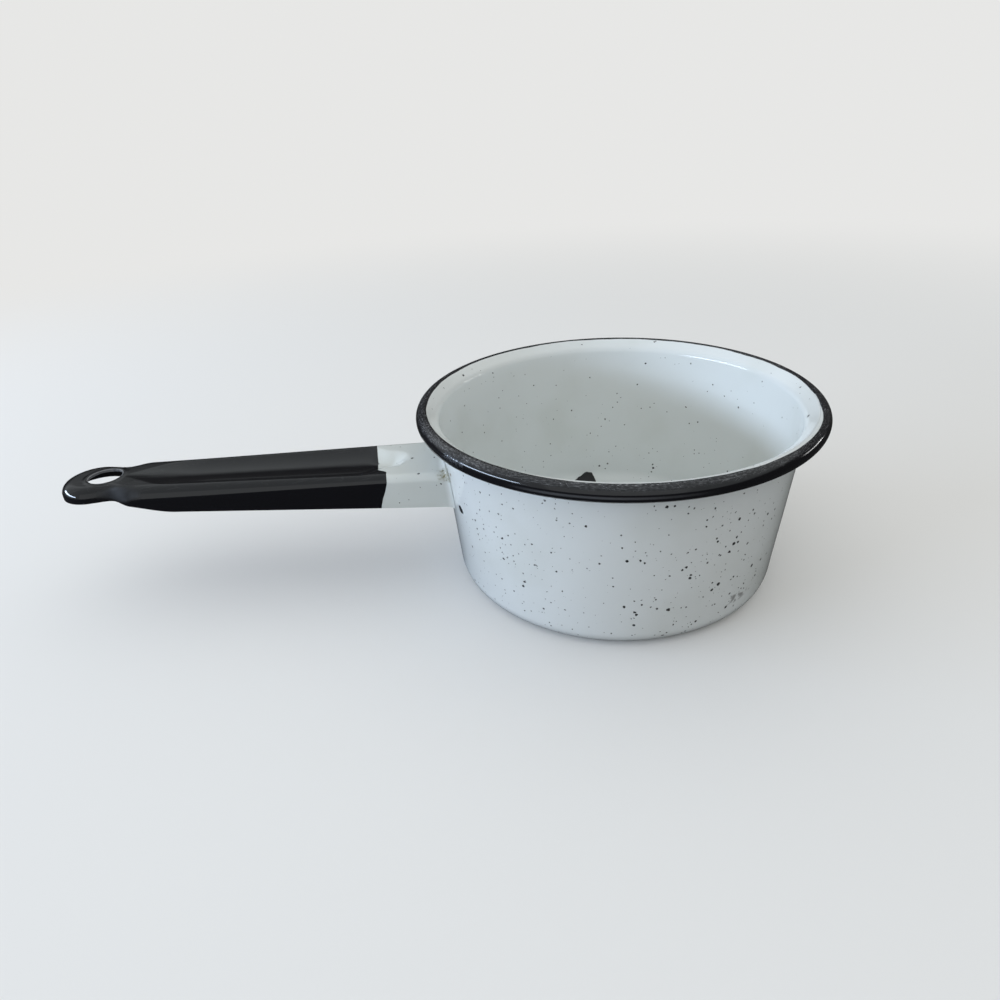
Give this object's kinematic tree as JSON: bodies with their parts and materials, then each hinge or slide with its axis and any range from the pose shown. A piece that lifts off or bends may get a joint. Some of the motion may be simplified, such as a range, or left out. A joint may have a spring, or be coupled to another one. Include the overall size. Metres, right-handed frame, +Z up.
{
  "type": "saucepan",
  "caption": "Small enamelled steel saucepan with a rolled black rim, tapered wall, flat base and a pressed channel handle ending in a round hanging eye.",
  "frame": {"origin": "centre of the pan's flat base, on the axis of the bowl", "axes": "+Z up through the open top; the handle points along -X; X and Z hold the plane of symmetry"},
  "size_m": [0.3204, 0.165, 0.077],
  "materials": {
    "white_enamel": "glossy white porcelain enamel with small dark specks",
    "black_enamel": "glossy black porcelain enamel, scratched bright on top",
    "white_enamel_handle": "glossy white porcelain enamel",
    "black_enamel_handle": "glossy black porcelain enamel"
  },
  "bodies": {
    "root": {"pan_body": "white_enamel", "rim_bead": "black_enamel", "handle_shank": "white_enamel_handle", "handle_grip": "black_enamel_handle", "handle_weld": "white_enamel_handle"}
  },
  "joints": []
}
